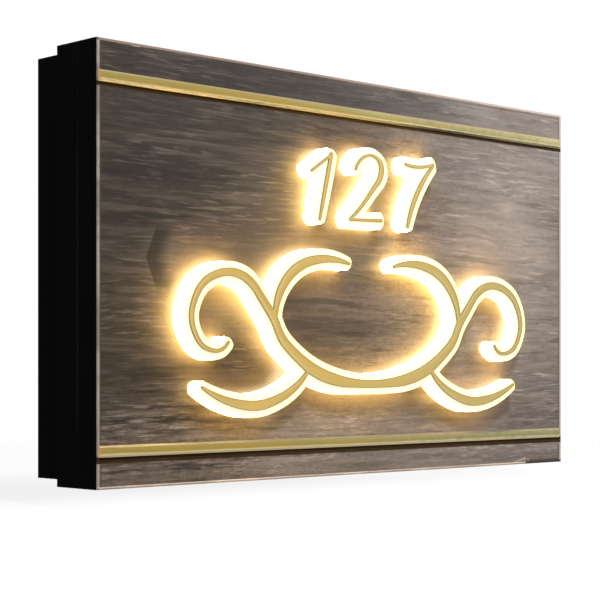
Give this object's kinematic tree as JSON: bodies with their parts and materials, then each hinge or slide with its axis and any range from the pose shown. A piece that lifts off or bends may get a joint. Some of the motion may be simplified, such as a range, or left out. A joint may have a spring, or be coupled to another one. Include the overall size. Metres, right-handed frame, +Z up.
{
  "type": "illuminated nameplate",
  "caption": "Wall-hung light-box nameplate: dark wood-look front with gold bars and raised, edge-lit opal characters, on a black box that opens forward for service.",
  "frame": {"origin": "centre of the back face, on the wall", "axes": "+X along the width to the right as seen from the front, +Y into the wall, +Z up"},
  "size_m": [0.45, 0.078, 0.2724],
  "materials": {
    "black_paint": "satin black",
    "wood_laminate": "satin dark wood",
    "gold": "gold mirror",
    "opal": "lit opal",
    "opal_sheet": "opal",
    "seam": "translucent dark",
    "rubber": "matt black",
    "white_sheet": "white",
    "strip": "white solder mask",
    "chip": "phosphor",
    "lead": "satin",
    "driver": "satin white",
    "driver_lid": "satin grey",
    "block": "natural nylon",
    "steel": "black oxide",
    "cleat": "raw"
  },
  "bodies": {
    "wall_box": {"wall_tray": "black_paint", "cable_bush": "rubber", "rear_case": "black_paint", "inner_frame": "black_paint", "seam_gasket": "seam", "led_board": "white_sheet", "case_screws": "steel", "led_strip_1": "strip", "led_strip_2": "strip", "led_strip_3": "strip", "led_strip_4": "strip", "led_strip_5": "strip", "led_chips_1": "chip", "led_chips_2": "chip", "led_chips_3": "chip", "led_chips_4": "chip", "led_chips_5": "chip", "jumper_leads": "lead", "driver_case": "driver", "driver_lid": "driver_lid", "terminal_block": "block", "input_leads": "lead", "output_lead": "lead"},
    "front_cover": {"cover_frame": "black_paint", "cover_screws": "steel", "cover_nuts": "steel", "corner_cleats": "cleat", "backing_sheet": "opal_sheet", "front_board": "wood_laminate", "upper_gold_bar": "gold", "lower_gold_bar": "gold", "numeral_one": "opal", "numeral_two": "opal", "numeral_seven": "opal", "flourish": "opal", "numeral_one_face": "gold", "numeral_two_face": "gold", "numeral_seven_face": "gold", "flourish_face": "gold"}
  },
  "joints": [
    {"name": "cover_pull", "type": "slide", "parent": "wall_box", "child": "front_cover", "axis": [0, -1, 0], "range_m": [0, 0.05]}
  ]
}
